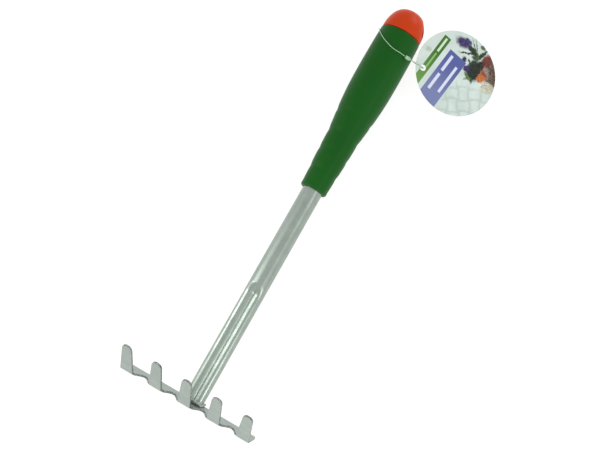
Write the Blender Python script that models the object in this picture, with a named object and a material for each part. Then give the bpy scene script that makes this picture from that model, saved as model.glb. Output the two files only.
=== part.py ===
"""Five-tine hand rake: stamped steel head, pressed steel shaft, plastic grip with an orange end cap,
and a round card tag on a nylon loop. The rake lies tines up: the tube's end, the grip's belly and one
corner of the head rest on the ground plane z = 0. Shapes are made in the rake's own frame (+Y along the
shaft towards the grip, +X along the head, +Z the way the tines stand), and one empty lays it down."""
import math

import bmesh
import bpy
from mathutils import Matrix, Vector
from mathutils.geometry import interpolate_bezier

MM = 0.001
GAP = 0.3 * MM                      # clearance kept between neighbouring solids

# How the rake lies: pitch lifts the grip's axis, roll lowers the head's left corner.
PITCH = math.radians(1.89)
ROLL = math.radians(-7.0)
RAKE_PLACE = (3.4 * MM, -174.0 * MM, 7.71 * MM)

# Head: one steel pressing.
PLATE = 1.8 * MM
TINES = 5
TINE_PITCH = 25.3 * MM
TINE_BASE = 10.6 * MM
TINE_END = 8.2 * MM
TINE_LENGTH = 30.7 * MM
TINE_TIP = 4.4 * MM                 # height of the rounded tip
TINE_SPLAY = math.radians(1.3)      # each tine fans out this much more than its neighbour
TINE_RISE = math.radians(60)        # between the tines and the shaft
STRIP_DEPTH = 16.4 * MM
STRIP_DIP = math.radians(70)        # between the strip and the shaft
SCALLOP = 8.7 * MM
SCALLOP_POWER = 1.4                 # above 1 the scallop starts gently beside each tine
CORNER = 2.2 * MM
FOLD_RADIUS = 2.0 * MM              # inside the fold
FOLD_Y = -1.5 * MM
FOLD_Z = 14.2 * MM
HEAD_SKEW = math.radians(-1.2)      # the head is welded on slightly askew
HEAD_SHIFT = -1.3 * MM

# Shaft: steel tube with a groove pressed in its upper side.
SHAFT_RADIUS = 8.0 * MM
SHAFT_WALL = 1.2 * MM
SHAFT_TOP = 288.0 * MM
GROOVE_START = 105.0 * MM
GROOVE_RUN = 15.0 * MM
GROOVE_ARCH = 0.6                   # how far the sides lag behind the middle
LEFT_LOBE, RIGHT_LOBE = -3.7 * MM, 4.2 * MM
LEFT_WALL, RIGHT_WALL = 1.6, 2.0
LOBE_HEIGHT = 5.0 * MM
LOBE_SHARE = 0.4
CREASE_X = 0.6 * MM
CREASE_DEPTH = 1.7 * MM
SHAFT_SIDES = 56
SHAFT_START = 12.0 * MM             # first full ring behind the slanting end

# Weld beads.
BEAD = 1.7 * MM
SIDE_BEAD = 0.9 * MM
TOP_WELD = (-7.6 * MM, 10.6 * MM)     # left and right end of the bead over both crests
SIDE_WELD = (70, 99)               # degrees round the shaft from its top
WELD_STEPS = 12

# Grip and end cap, radii along the shaft in millimetres.
GRIP_FRONT = 187.3
GRIP_REAR = 328.1
GRIP_STATIONS = ((192, 10.7), (201, 11.15), (211, 11.85), (224, 12.4), (234, 12.75), (244, 13.8),
                 (254, 15.05), (264, 16.0), (275, 16.7), (290, 17.0), (306, 16.95), (318, 16.75),
                 (326, 16.45))
GRIP_RINGS = (203.5, 219.5, 235.5, 252.5)
RING_STEP = 0.35
RING_WIDTH = 2.4
FRONT_RIM = 1.6
REAR_RIM = 0.8
BORE_CLEARANCE = 0.3
ROUND_SIDES = 40
BORE_DEPTH = 290.0
REAR_BORE = 11.2
REAR_BORE_FLOOR = 303.0
SPIGOT = 10.9
CAP_SEAM = 328.4
CAP_TOP = 349.3
CAP_RADIUS = 16.2
CAP_SKIRT = 2.0                     # straight part of the cap between its seam and its dome
DOME_FALL = 0.71
DOME_RISE = 1.03
HANG_Y = 339.5 * MM
HANG_LENGTH = 14.0 * MM
HANG_HEIGHT = 8.4 * MM

# Tag and its loop, placed on the ground frame.
TAG_RADIUS = 34.0 * MM
TAG_THICKNESS = 0.5 * MM
TAG_CENTRE = Vector((53.37, 150.24, 12.42)) * MM
TAG_AZIMUTH = math.radians(13.12)
TAG_SLOPE = math.radians(20.56)
HOLE_OFFSET = Vector((-27.35, -6.23)) * MM
HOLE_RADIUS = 2.5 * MM
CORD_DIAMETER = 0.7 * MM
LOCK_LENGTH = 4.8 * MM
LOCK_RADIUS = 1.45 * MM
LOCK_BORE = 0.75 * MM
LOCK_CENTRE = Vector((16.7, 136.8, 29.95)) * MM
LOCK_AXIS = Vector((0.83, 0.10, -0.545)).normalized()
BARB_RADIUS = 0.42 * MM
BARB_LENGTH = 1.6 * MM
LOOP_ROUTE = (
    (14.4, 136.5, 31.4), (9.7, 136.1, 34.7), (5.4, 136.1, 35.4), (1.6, 136.9, 35.6),
    (-2.8, 138.7, 34.9), (-7.4, 141.4, 32.6), (-11.4, 145.1, 29.2), (-14.0, 148.4, 25.0),
    (-15.3, 150.6, 20.4), (-15.3, 152.0, 15.8), (-14.0, 152.7, 11.2), (-11.4, 152.8, 7.2),
    (-7.5, 152.5, 3.8), (-2.8, 152.0, 1.5), (1.9, 151.1, 0.8), (6.6, 149.8, 1.3),
    (11.0, 148.1, 3.1), (15.5, 145.7, 6.2), (20.7, 143.0, 10.6), (25.5, 140.5, 15.0),
    (29.0, 139.0, 18.9), (30.2, 138.5, 20.8), (29.8, 138.35, 22.5), (28.0, 138.0, 24.2),
    (23.7, 137.5, 26.6), (19.0, 137.1, 28.4))


def material(name, colour, roughness, metallic=0.0):
    """A plain Principled material."""
    mat = bpy.data.materials.new(name)
    mat.use_nodes = True
    shader = mat.node_tree.nodes["Principled BSDF"]
    shader.inputs["Base Color"].default_value = (*colour, 1.0)
    shader.inputs["Roughness"].default_value = roughness
    shader.inputs["Metallic"].default_value = metallic
    return mat


def add_object(name, bm, mat, parent, smooth_angle=35):
    """Turn a bmesh into a named object under its parent, faces out, round faces smooth."""
    bmesh.ops.remove_doubles(bm, verts=bm.verts, dist=1e-7)
    bmesh.ops.recalc_face_normals(bm, faces=bm.faces)
    mesh = bpy.data.meshes.new(name)
    bm.to_mesh(mesh)
    bm.free()
    mesh.shade_smooth()
    mesh.set_sharp_from_angle(angle=math.radians(smooth_angle))
    mesh.materials.append(mat)
    obj = bpy.data.objects.new(name, mesh)
    bpy.context.scene.collection.objects.link(obj)
    obj.parent = parent
    return obj


def add_empty(name, place, turn=(0, 0, 0)):
    """An empty that parts hang from."""
    empty = bpy.data.objects.new(name, None)
    empty.location = place
    empty.rotation_euler = turn
    bpy.context.scene.collection.objects.link(empty)
    return empty


def smooth_step(t):
    """0 below 0, 1 above 1, smooth between."""
    t = min(max(t, 0.0), 1.0)
    return t * t * (3.0 - 2.0 * t)


def lathe(profile, sides):
    """Solid turned about the Y axis from (y, radius) points; radius 0 closes an end."""
    bm = bmesh.new()
    rings = []
    for y, radius in profile:
        if radius == 0.0:
            rings.append([bm.verts.new((0, y, 0))])
            continue
        turns = [2 * math.pi * i / sides for i in range(sides)]
        rings.append([bm.verts.new((radius * math.sin(a), y, radius * math.cos(a))) for a in turns])
    bridge_rings(bm, rings)
    return bm


def bridge_rings(bm, rings, closed=False):
    """Faces between neighbouring rings of vertices; a ring of one vertex is a pole."""
    pairs = list(zip(rings, rings[1:]))
    if closed:
        pairs.append((rings[-1], rings[0]))
    for near, far in pairs:
        count = max(len(near), len(far))
        for i in range(count):
            j = (i + 1) % count
            corners = [near[i % len(near)], near[j % len(near)], far[j % len(far)], far[i % len(far)]]
            bm.faces.new(list(dict.fromkeys(corners)))


# ---------------------------------------------------------------- head

STRIP_IN = Vector((0, math.sin(STRIP_DIP), math.cos(STRIP_DIP)))       # inner face's normal, strip
STRIP_DOWN = Vector((0, math.cos(STRIP_DIP), -math.sin(STRIP_DIP)))
TINE_IN = Vector((0, math.sin(TINE_RISE), -math.cos(TINE_RISE)))       # inner face's normal, tines
TINE_UP = Vector((0, math.cos(TINE_RISE), math.sin(TINE_RISE)))
FOLD = STRIP_IN.angle(TINE_IN)
FOLD_OUTER = FOLD_RADIUS + PLATE
SETBACK = FOLD_OUTER * math.tan(FOLD / 2)
FOLD_EDGE = Vector((0, FOLD_Y, FOLD_Z))
FOLD_CENTRE = FOLD_EDGE + (STRIP_IN + TINE_IN).normalized() * FOLD_OUTER / math.cos(FOLD / 2)
FOLD_STEPS = 4


SKEW = Matrix.Rotation(HEAD_SKEW, 4, "Z") @ Matrix.Translation((HEAD_SHIFT, 0, 0))


def folded(x, u, inner):
    """Place a point of the flat blank: u runs up the tines from the fold, inner picks the face."""
    radius = FOLD_OUTER - (PLATE if inner else 0.0)
    across = Vector((x, 0, 0))
    if u <= 0:
        return across + FOLD_CENTRE - STRIP_IN * radius - STRIP_DOWN * u
    turned = min(u / (FOLD_OUTER * FOLD), 1.0) * FOLD
    outward = -(Matrix.Rotation(-turned, 3, "X") @ STRIP_IN)
    beyond = max(u - FOLD_OUTER * FOLD, 0.0)
    return across + FOLD_CENTRE + outward * radius + TINE_UP * beyond


def tine_outline(centre, index):
    """Right-hand half of one tine's blade in the flat, from the end of the fold to the tip."""
    start = FOLD_OUTER * FOLD
    straight = TINE_LENGTH - SETBACK - TINE_TIP
    points = []
    for step in range(7):
        turn = math.pi / 2 * step / 6
        points.append((TINE_END / 2 * math.cos(turn), start + straight + TINE_TIP * math.sin(turn)))
    lean = math.tan(TINE_SPLAY * index)
    right = [(centre + x + lean * (u - start), u) for x, u in points]
    left = [(centre - x + lean * (u - start), u) for x, u in points[:-1]]
    return right, left[::-1]


def build_head(mat, parent):
    """The folded strip with its five tines."""
    centres = [(i - (TINES - 1) / 2) * TINE_PITCH for i in range(TINES)]
    strip_depth = STRIP_DEPTH - SETBACK
    half = TINE_BASE / 2
    flat, faces, strip_edge = [], [], []

    def point(x, u):
        flat.append((x, u))
        return len(flat) - 1

    for index, centre in enumerate(centres):
        rows = []
        for step in range(FOLD_STEPS + 1):
            u = FOLD_OUTER * FOLD * step / FOLD_STEPS
            rows.append((point(centre - half, u), point(centre + half, u)))
        for low, high in zip(rows, rows[1:]):
            faces.append([low[0], low[1], high[1], high[0]])
        right, left = tine_outline(centre, index - (TINES - 1) / 2)
        faces.append([rows[-1][0], rows[-1][1]] + [point(x, u) for x, u in right + left])
        strip_edge += [rows[0][0], rows[0][1]]
        if index < TINES - 1:
            gap = TINE_PITCH - TINE_BASE
            for step in range(1, 10):
                share = step / 10
                depth = SCALLOP * math.sin(math.pi * share) ** SCALLOP_POWER
                below_fold = max(depth - SETBACK, 0.02 * MM * step)
                strip_edge.append(point(centre + half + gap * share, -below_fold))
    end = centres[-1] + half
    for side in (1, -1):
        arc = []
        for k in range(5):
            turn = math.pi / 2 * k / 4
            across = side * (end - CORNER + CORNER * math.cos(turn))
            arc.append((across, -(strip_depth - CORNER + CORNER * math.sin(turn))))
        strip_edge += [point(x, u) for x, u in (arc if side > 0 else arc[::-1])]
    faces.append(strip_edge)

    bm = bmesh.new()
    outer = [bm.verts.new(folded(x, u, False)) for x, u in flat]
    inner = [bm.verts.new(folded(x, u, True)) for x, u in flat]
    edge_use = {}
    for face in faces:
        bm.faces.new([outer[i] for i in face])
        bm.faces.new([inner[i] for i in reversed(face)])
        for a, b in zip(face, face[1:] + face[:1]):
            edge_use.setdefault(frozenset((a, b)), []).append((a, b))
    for uses in edge_use.values():
        if len(uses) == 1:
            a, b = uses[0]
            bm.faces.new([outer[b], outer[a], inner[a], inner[b]])
    bm.transform(SKEW)
    return add_object("tine_head", bm, mat, parent)


# ---------------------------------------------------------------- shaft and weld

def end_plane_y(x, z, clearance):
    """Y of the plane that lies a clearance above the skewed strip's inner face, over (x, z)."""
    level = FOLD_Y + (PLATE + clearance - math.cos(STRIP_DIP) * (z - FOLD_Z)) / math.sin(STRIP_DIP)
    return (level + math.sin(HEAD_SKEW) * x) / math.cos(HEAD_SKEW)


def shaft_outline(turn, y):
    """Point (x, z) of the shaft's outer skin; turn 0 is the crease pressed into its top."""
    x, z = SHAFT_RADIUS * math.sin(turn), SHAFT_RADIUS * math.cos(turn)
    along = (GROOVE_START - y) / GROOVE_RUN
    quarter = abs(turn) / (math.pi / 2)
    if along <= 0 or quarter >= 1:
        return x, z
    lag = GROOVE_ARCH * (1 - abs(math.cos(turn)))
    pressed = smooth_step(along * (1 + GROOVE_ARCH) - lag)
    crest, steepness = (RIGHT_LOBE, RIGHT_WALL) if turn > 0 else (LEFT_LOBE, LEFT_WALL)
    share = quarter / LOBE_SHARE - 1
    if share <= 0:
        lobe_x = crest + (CREASE_X - crest) * -share
        lobe_z = LOBE_HEIGHT - CREASE_DEPTH * (-share) ** steepness
    else:
        swing = math.pi / 2 * share * LOBE_SHARE / (1 - LOBE_SHARE)
        lobe_x = crest + (math.copysign(SHAFT_RADIUS, turn) - crest) * math.sin(swing)
        lobe_z = LOBE_HEIGHT * math.cos(swing)
    return x + (lobe_x - x) * pressed, z + (lobe_z - z) * pressed


def shaft_ring(y, inset, sides):
    """Ring of (x, z) points; inset shifts them square to the skin, into the wall."""
    turns = [-math.pi + 2 * math.pi * i / sides for i in range(sides)]
    ring = [Vector(shaft_outline(t, y)) for t in turns]
    moved = []
    for i, point in enumerate(ring):
        along = ring[(i + 1) % sides] - ring[i - 1]
        normal = Vector((along.y, -along.x)).normalized()
        moved.append(point + normal * inset)
    return moved


def build_shaft(mat, parent):
    """The tube, open at both ends, its front end cut along the strip's face."""
    sides = SHAFT_SIDES
    stations = [SHAFT_START, 40.0 * MM, 70.0 * MM]
    stations += [GROOVE_START - GROOVE_RUN * k / 10 for k in range(11, -1, -1)]
    stations += [150.0 * MM, SHAFT_TOP]
    bm = bmesh.new()
    skins = []
    for inset in (0.0, SHAFT_WALL):
        rings = []
        front = shaft_ring(stations[0], inset, sides)
        rings.append([bm.verts.new((p.x, end_plane_y(p.x, p.y, GAP), p.y)) for p in front])
        for y in stations:
            rings.append([bm.verts.new((p.x, y, p.y)) for p in shaft_ring(y, inset, sides)])
        skins.append(rings)
    bridge_rings(bm, skins[0] + skins[1][::-1], closed=True)
    return add_object("shaft_tube", bm, mat, parent)


def sweep(bm, centres, radii, sides=8):
    """Closed tube of changing radius through centres, with pointed ends."""
    rings = []
    for i, (centre, radius) in enumerate(zip(centres, radii)):
        if i in (0, len(centres) - 1):
            rings.append([bm.verts.new(centre)])
            continue
        along = (centres[i + 1] - centres[i - 1]).normalized()
        side = along.cross(STRIP_IN).normalized()
        up = side.cross(along)
        turns = [2 * math.pi * k / sides for k in range(sides)]
        spots = [centre + (side * math.cos(t) + up * math.sin(t)) * radius for t in turns]
        rings.append([bm.verts.new(spot) for spot in spots])
    bridge_rings(bm, rings)


def side_weld_path(first_turn, last_turn, radius, steps):
    """Centres of a bead that wraps one side of the shaft's end."""
    centres = []
    for step in range(steps + 1):
        turn = math.radians(first_turn + (last_turn - first_turn) * step / steps)
        spot = Vector(shaft_outline(turn, SHAFT_START))
        ahead = Vector(shaft_outline(turn + 0.05, SHAFT_START))
        normal = Vector((-(ahead - spot).y, (ahead - spot).x)).normalized()
        spot += normal * (radius + GAP)
        centres.append(Vector((spot.x, end_plane_y(spot.x, spot.y, GAP + radius), spot.y)))
    return centres


def top_weld_path(radius, steps):
    """Centres of the straight bead that lies across both crests of the pressed shaft."""
    crest = max(p.y for p in shaft_ring(SHAFT_START, 0.0, SHAFT_SIDES)) + radius + GAP
    spots = [TOP_WELD[0] + (TOP_WELD[1] - TOP_WELD[0]) * step / steps for step in range(steps + 1)]
    return [Vector((x, end_plane_y(x, crest, GAP + radius), crest)) for x in spots]


def build_weld(name, centres, radius, mat, parent):
    """A bead in the corner between the shaft's end and the strip's inner face."""
    radii = [radius * (0.92 + 0.08 * math.cos(i * 2.1)) for i in range(len(centres))]
    bm = bmesh.new()
    sweep(bm, centres, radii)
    return add_object(name, bm, mat, parent, smooth_angle=80)


# ---------------------------------------------------------------- grip and cap

def grip_radius(y):
    """Outer radius of the grip in millimetres, with its shallow finger rings."""
    stations = GRIP_STATIONS
    if y <= stations[0][0]:
        radius = stations[0][1]
    elif y >= stations[-1][0]:
        radius = stations[-1][1]
    else:
        k = max(i for i, s in enumerate(stations) if s[0] <= y)
        k = min(k, len(stations) - 2)
        before = stations[max(k - 1, 0)]
        here, there = stations[k], stations[k + 1]
        after = stations[min(k + 2, len(stations) - 1)]
        t = (y - here[0]) / (there[0] - here[0])
        span = there[0] - here[0]
        slope_in = (there[1] - before[1]) / (there[0] - before[0]) * span
        slope_out = (after[1] - here[1]) / (after[0] - here[0]) * span
        blend = t * t * (3 - 2 * t)
        radius = here[1] * (1 - blend) + there[1] * blend
        radius += slope_in * t * (1 - t) ** 2 - slope_out * t * t * (1 - t)
    for ring in GRIP_RINGS:
        radius -= RING_STEP * math.exp(-((y - ring) / RING_WIDTH) ** 2)
    return radius


def build_grip(mat, parent):
    """Moulded grip with a blind bore for the shaft and one for the cap's spigot."""
    bore = SHAFT_RADIUS / MM + BORE_CLEARANCE
    profile = [(BORE_DEPTH, 0.0), (BORE_DEPTH, bore), (GRIP_FRONT, bore)]
    for k in range(1, 5):
        turn = math.pi / 2 * k / 4
        radius = grip_radius(GRIP_FRONT + FRONT_RIM) - FRONT_RIM * (1 - math.sin(turn))
        profile.append((GRIP_FRONT + FRONT_RIM * (1 - math.cos(turn)), radius))
    profile.insert(3, (GRIP_FRONT, grip_radius(GRIP_FRONT) - FRONT_RIM))
    y = GRIP_FRONT + 3.5
    while y < GRIP_REAR - 1.5:
        profile.append((y, grip_radius(y)))
        y += 2.0 if y < 262 else 4.0
    rear = grip_radius(GRIP_REAR)
    profile += [(GRIP_REAR - REAR_RIM, rear), (GRIP_REAR, rear - REAR_RIM), (GRIP_REAR, REAR_BORE)]
    profile += [(REAR_BORE_FLOOR, REAR_BORE), (REAR_BORE_FLOOR, 0.0)]
    bm = lathe([(y * MM, r * MM) for y, r in profile], ROUND_SIDES)
    return add_object("grip", bm, mat, parent)


def build_cap(mat, parent):
    """Domed end cap with a spigot in the grip and a hanging slot across the dome."""
    profile = [(REAR_BORE_FLOOR + 0.4, 0.0), (REAR_BORE_FLOOR + 0.4, SPIGOT - 0.6),
               (REAR_BORE_FLOOR + 1.0, SPIGOT), (CAP_SEAM, SPIGOT), (CAP_SEAM, CAP_RADIUS - 0.5),
               (CAP_SEAM + 0.5, CAP_RADIUS)]
    height = CAP_TOP - CAP_SEAM - CAP_SKIRT
    for k in range(1, 12):
        turn = math.pi / 2 * k / 12
        rise = height * math.sin(turn) ** DOME_RISE
        profile.append((CAP_SEAM + CAP_SKIRT + rise, CAP_RADIUS * math.cos(turn) ** DOME_FALL))
    profile.append((CAP_TOP, 0.0))
    cap = add_object("end_cap", lathe([(y * MM, r * MM) for y, r in profile], ROUND_SIDES), mat, parent)

    cutter_mesh = bmesh.new()
    ends = []
    for x in (-22 * MM, 22 * MM):
        ring = []
        for k in range(24):
            turn = 2 * math.pi * (k + 0.5) / 24
            middle = math.copysign((HANG_LENGTH - HANG_HEIGHT) / 2, math.cos(turn))
            y = HANG_Y + middle + HANG_HEIGHT / 2 * math.cos(turn)
            ring.append(cutter_mesh.verts.new((x, y, HANG_HEIGHT / 2 * math.sin(turn))))
        ends.append(ring)
    bridge_rings(cutter_mesh, ends)
    for ring in ends:
        cutter_mesh.faces.new(ring)
    cutter = add_object("hanging_slot_cutter", cutter_mesh, mat, parent)
    cutter.hide_render = True
    cutter.display_type = "WIRE"
    cut = cap.modifiers.new("hanging_slot", "BOOLEAN")
    cut.operation = "DIFFERENCE"
    cut.solver = "EXACT"
    cut.object = cutter
    return cap


# ---------------------------------------------------------------- tag and loop

TAG_U = Vector((math.cos(TAG_AZIMUTH) * math.cos(TAG_SLOPE),
                math.sin(TAG_AZIMUTH) * math.cos(TAG_SLOPE), -math.sin(TAG_SLOPE)))
TAG_V = Vector((-math.sin(TAG_AZIMUTH), math.cos(TAG_AZIMUTH), 0))
TAG_HOLE = TAG_CENTRE + TAG_U * HOLE_OFFSET.x + TAG_V * HOLE_OFFSET.y


def build_tag(mat):
    """Round card with a punched hole; its origin is the hole, where it swings."""
    normal = TAG_U.cross(TAG_V)
    sides, hole_sides = 72, 16
    bm = bmesh.new()
    rims, holes = [], []
    for lift in (-TAG_THICKNESS / 2, TAG_THICKNESS / 2):
        turns = [2 * math.pi * k / sides for k in range(sides)]
        rims.append([bm.verts.new(TAG_U * (TAG_RADIUS * math.cos(t) - HOLE_OFFSET.x)
                                  + TAG_V * (TAG_RADIUS * math.sin(t) - HOLE_OFFSET.y)
                                  + normal * lift) for t in turns])
        turns = [2 * math.pi * k / hole_sides for k in range(hole_sides)]
        holes.append([bm.verts.new(TAG_U * HOLE_RADIUS * math.cos(t) + TAG_V * HOLE_RADIUS * math.sin(t)
                                   + normal * lift) for t in turns])
    bridge_rings(bm, rims)
    bridge_rings(bm, holes)
    for rim, hole in zip(rims, holes):
        edges = [bm.edges.get((ring[k], ring[(k + 1) % len(ring)])) for ring in (rim, hole)
                 for k in range(len(ring))]
        bmesh.ops.triangle_fill(bm, edges=edges, use_beauty=True)
    tag = add_object("hang_tag", bm, mat, None)
    tag.location = TAG_HOLE
    return tag


def smooth_route(points, steps):
    """Points along one smooth curve through the route's own points."""
    route = [Vector(p) * MM for p in points]
    curve = []
    for i in range(len(route) - 1):
        before, after = route[max(i - 1, 0)], route[min(i + 2, len(route) - 1)]
        lead_in = route[i] + (route[i + 1] - before) / 6
        lead_out = route[i + 1] - (after - route[i]) / 6
        span = interpolate_bezier(route[i], lead_in, lead_out, route[i + 1], steps + 1)
        curve += span[:-1]
    return curve + [route[-1]]


def build_loop(mat):
    """Nylon filament of the tag's loop, from one end of the lock round to the other."""
    curve = bpy.data.curves.new("tag_loop", "CURVE")
    curve.dimensions = "3D"
    curve.bevel_depth = CORD_DIAMETER / 2
    curve.bevel_resolution = 2
    curve.use_fill_caps = True
    points = smooth_route(LOOP_ROUTE, 3)
    spline = curve.splines.new("POLY")
    spline.points.add(len(points) - 1)
    for spot, point in zip(points, spline.points):
        point.co = (*spot, 1.0)
    curve.materials.append(mat)
    loop = bpy.data.objects.new("tag_loop", curve)
    bpy.context.scene.collection.objects.link(loop)
    return loop


def build_lock(mat):
    """Socket that closes the loop, with the barbed tip inside it."""
    half = LOCK_LENGTH / 2
    outer = [(-half, LOCK_BORE), (-half, LOCK_RADIUS * 0.72), (-half * 0.55, LOCK_RADIUS),
             (half * 0.55, LOCK_RADIUS), (half, LOCK_RADIUS * 0.72), (half, LOCK_BORE)]
    bm = lathe_ring(outer, 16)
    turn = Vector((0, 1, 0)).rotation_difference(LOCK_AXIS).to_euler()
    lock = add_object("loop_lock", bm, mat, None)
    barb_profile = [(-BARB_LENGTH / 2, 0.0), (-BARB_LENGTH / 2, BARB_RADIUS * 0.6),
                    (0.0, BARB_RADIUS * 0.6), (0.0, BARB_RADIUS), (BARB_LENGTH / 2, 0.0)]
    barb = add_object("loop_barb", lathe(barb_profile, 12), mat, None)
    for piece in (lock, barb):
        piece.location = LOCK_CENTRE
        piece.rotation_euler = turn
    return lock


def lathe_ring(profile, sides):
    """Ring turned about the Y axis from a closed (y, radius) profile."""
    bm = bmesh.new()
    rings = []
    for y, radius in profile:
        turns = [2 * math.pi * i / sides for i in range(sides)]
        rings.append([bm.verts.new((radius * math.sin(a), y, radius * math.cos(a))) for a in turns])
    bridge_rings(bm, rings, closed=True)
    return bm


def main():
    for obj in list(bpy.data.objects):
        bpy.data.objects.remove(obj, do_unlink=True)
    steel = material("zinc_steel", (0.55, 0.56, 0.54), 0.38, 0.9)
    weld = material("weld_steel", (0.36, 0.36, 0.35), 0.55, 0.8)
    green = material("green_plastic", (0.012, 0.115, 0.018), 0.38)
    orange = material("orange_plastic", (0.72, 0.07, 0.012), 0.36)
    card = material("printed_card", (0.62, 0.72, 0.62), 0.45)
    nylon = material("clear_nylon", (0.8, 0.84, 0.8), 0.3)

    rake = add_empty("rake", RAKE_PLACE, (PITCH, ROLL, 0))
    build_head(steel, rake)
    build_shaft(steel, rake)
    build_weld("weld_top", top_weld_path(BEAD, WELD_STEPS), BEAD, weld, rake)
    left = side_weld_path(-SIDE_WELD[1], -SIDE_WELD[0], SIDE_BEAD, WELD_STEPS)
    build_weld("weld_left", left, SIDE_BEAD, weld, rake)
    right = side_weld_path(*SIDE_WELD, SIDE_BEAD, WELD_STEPS)
    build_weld("weld_right", right, SIDE_BEAD, weld, rake)
    build_grip(green, rake)
    build_cap(orange, rake)
    build_tag(card)
    build_loop(nylon)
    build_lock(nylon)


main()
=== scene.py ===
"""Looks of the five-tine hand rake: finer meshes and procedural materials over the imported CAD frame.
The rake's pieces are shaped in the rake's own frame (+Y along the shaft towards the grip, +X along the
head, +Z the way the tines stand) and laid down by one matrix, as in the CAD."""
import math

import bmesh
import bpy
from mathutils import Euler, Matrix, Vector, noise
from mathutils.geometry import interpolate_bezier


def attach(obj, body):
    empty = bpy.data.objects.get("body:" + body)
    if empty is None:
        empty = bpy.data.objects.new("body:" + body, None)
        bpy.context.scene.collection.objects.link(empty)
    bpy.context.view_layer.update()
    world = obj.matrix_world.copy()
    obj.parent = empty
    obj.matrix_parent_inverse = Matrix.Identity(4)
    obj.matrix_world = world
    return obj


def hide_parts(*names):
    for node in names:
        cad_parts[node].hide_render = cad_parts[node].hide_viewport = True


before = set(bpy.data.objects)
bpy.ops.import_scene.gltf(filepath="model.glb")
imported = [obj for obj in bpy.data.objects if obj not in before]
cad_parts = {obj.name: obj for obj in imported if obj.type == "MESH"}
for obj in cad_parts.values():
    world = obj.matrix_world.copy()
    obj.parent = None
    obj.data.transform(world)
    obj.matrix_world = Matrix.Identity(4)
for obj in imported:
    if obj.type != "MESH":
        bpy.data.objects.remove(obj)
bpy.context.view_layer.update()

MM = 0.001
GAP = 0.3 * MM

# Camera, nearly overhead and a little from the head's end.
CAMERA_LENS = 84.5
CAMERA_PLACE = Vector((132.9, -225.5, 1050.9)) * MM
CAMERA_TURN = (13.30, 0.33, 29.39)   # degrees about X, Y and Z

# How the rake lies, as in the CAD.
PITCH = math.radians(1.89)
ROLL = math.radians(-7.0)
RAKE_PLACE = Vector((3.4, -174.0, 7.71)) * MM
RAKE = Matrix.Translation(RAKE_PLACE) @ Euler((PITCH, ROLL, 0)).to_matrix().to_4x4()

# Head.
PLATE = 1.8 * MM
TINES = 5
TINE_PITCH = 25.3 * MM
TINE_BASE = 10.6 * MM
TINE_END = 8.2 * MM
TINE_LENGTH = 30.7 * MM
TINE_TIP = 4.4 * MM                  # height of the rounded tip
TINE_SPLAY = math.radians(1.3)       # each tine fans out this much more than its neighbour
TINE_RISE = math.radians(60)         # between the tines and the shaft
STRIP_DEPTH = 16.4 * MM
STRIP_DIP = math.radians(70)         # between the strip and the shaft
SCALLOP = 8.7 * MM
SCALLOP_POWER = 1.4                  # above 1 the scallop starts gently beside each tine
CORNER = 2.2 * MM
FOLD_RADIUS = 2.0 * MM               # inside the fold
FOLD_Y = -1.5 * MM
FOLD_Z = 14.2 * MM
HEAD_SKEW = math.radians(-1.2)       # the head is welded on slightly askew
HEAD_SHIFT = -1.3 * MM
SKEW = Matrix.Rotation(HEAD_SKEW, 4, "Z") @ Matrix.Translation((HEAD_SHIFT, 0, 0))
PLATE_EDGE = 0.35 * MM               # bevel that breaks the sheared edges
SCALLOP_STEPS = 30
TIP_STEPS = 14
CORNER_STEPS = 8

# Shaft.
SHAFT_RADIUS = 8.0 * MM
SHAFT_WALL = 1.2 * MM
SHAFT_TOP = 288.0 * MM
GROOVE_START = 105.0 * MM
GROOVE_RUN = 15.0 * MM
GROOVE_ARCH = 0.6                    # how far the sides lag behind the middle
LEFT_LOBE, RIGHT_LOBE = -3.7 * MM, 4.2 * MM
LEFT_WALL, RIGHT_WALL = 1.6, 2.0     # above 1 a lobe falls slowly at first, then steeply
LOBE_HEIGHT = 5.0 * MM
LOBE_SHARE = 0.4                     # share of a quarter turn from the crease to a lobe's crest
CREASE_X = 0.6 * MM
CREASE_DEPTH = 1.7 * MM
SHAFT_SIDES = 144
SHAFT_START = 12.0 * MM              # first full ring behind the slanting end
BEAD = 1.7 * MM
SIDE_BEAD = 0.9 * MM
TOP_WELD = (-7.6 * MM, 10.6 * MM)    # left and right end of the bead over both crests
SIDE_WELD = (70, 99)                 # degrees round the shaft from its top
TOP_WELD_STEPS = 76
SIDE_WELD_STEPS = 36
WELD_SIDES = 24
WELD_RIPPLE = 0.9                    # radians of ripple from one ring to the next
RIPPLE_DEPTH = 0.05                  # share of the bead's radius
WELD_PITTING = 0.10                  # share of the bead's radius
WELD_PITS = 700.0                    # pits to a metre, about

# Grip and cap, in millimetres; the stations are (place along the shaft, radius).
TURNED_SIDES = 128
GRIP_FRONT = 187.3
GRIP_REAR = 328.1
GRIP_STATIONS = ((192, 10.7), (201, 11.15), (211, 11.85), (224, 12.4), (234, 12.75), (244, 13.8),
                 (254, 15.05), (264, 16.0), (275, 16.7), (290, 17.0), (306, 16.95), (318, 16.75),
                 (326, 16.45))
GRIP_RINGS = (203.5, 219.5, 235.5, 252.5)
RING_STEP = 0.35
RING_WIDTH = 2.4
FRONT_RIM = 1.6
REAR_RIM = 1.1
SKIN_STEP = 0.8                      # between the rings of the grip's skin
BORE_CLEARANCE = 0.3
BORE_CHAMFER = 0.3
BORE_DEPTH = 290.0
REAR_BORE = 11.2
REAR_BORE_FLOOR = 303.0
SPIGOT = 10.9
SPIGOT_END = REAR_BORE_FLOOR + 0.4
SPIGOT_CHAMFER = 0.6
CAP_SEAM = 328.4
CAP_TOP = 349.3
CAP_RADIUS = 16.2
CAP_EDGE = ((0.0, 0.9), (0.25, 0.3), (0.8, 0.0))     # rounded edge: above the seam, short of the radius
CAP_SKIRT = 2.0                      # straight part of the cap between its seam and its dome
DOME_FALL = 0.71
DOME_RISE = 1.03
DOME_STEPS = 36
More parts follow.
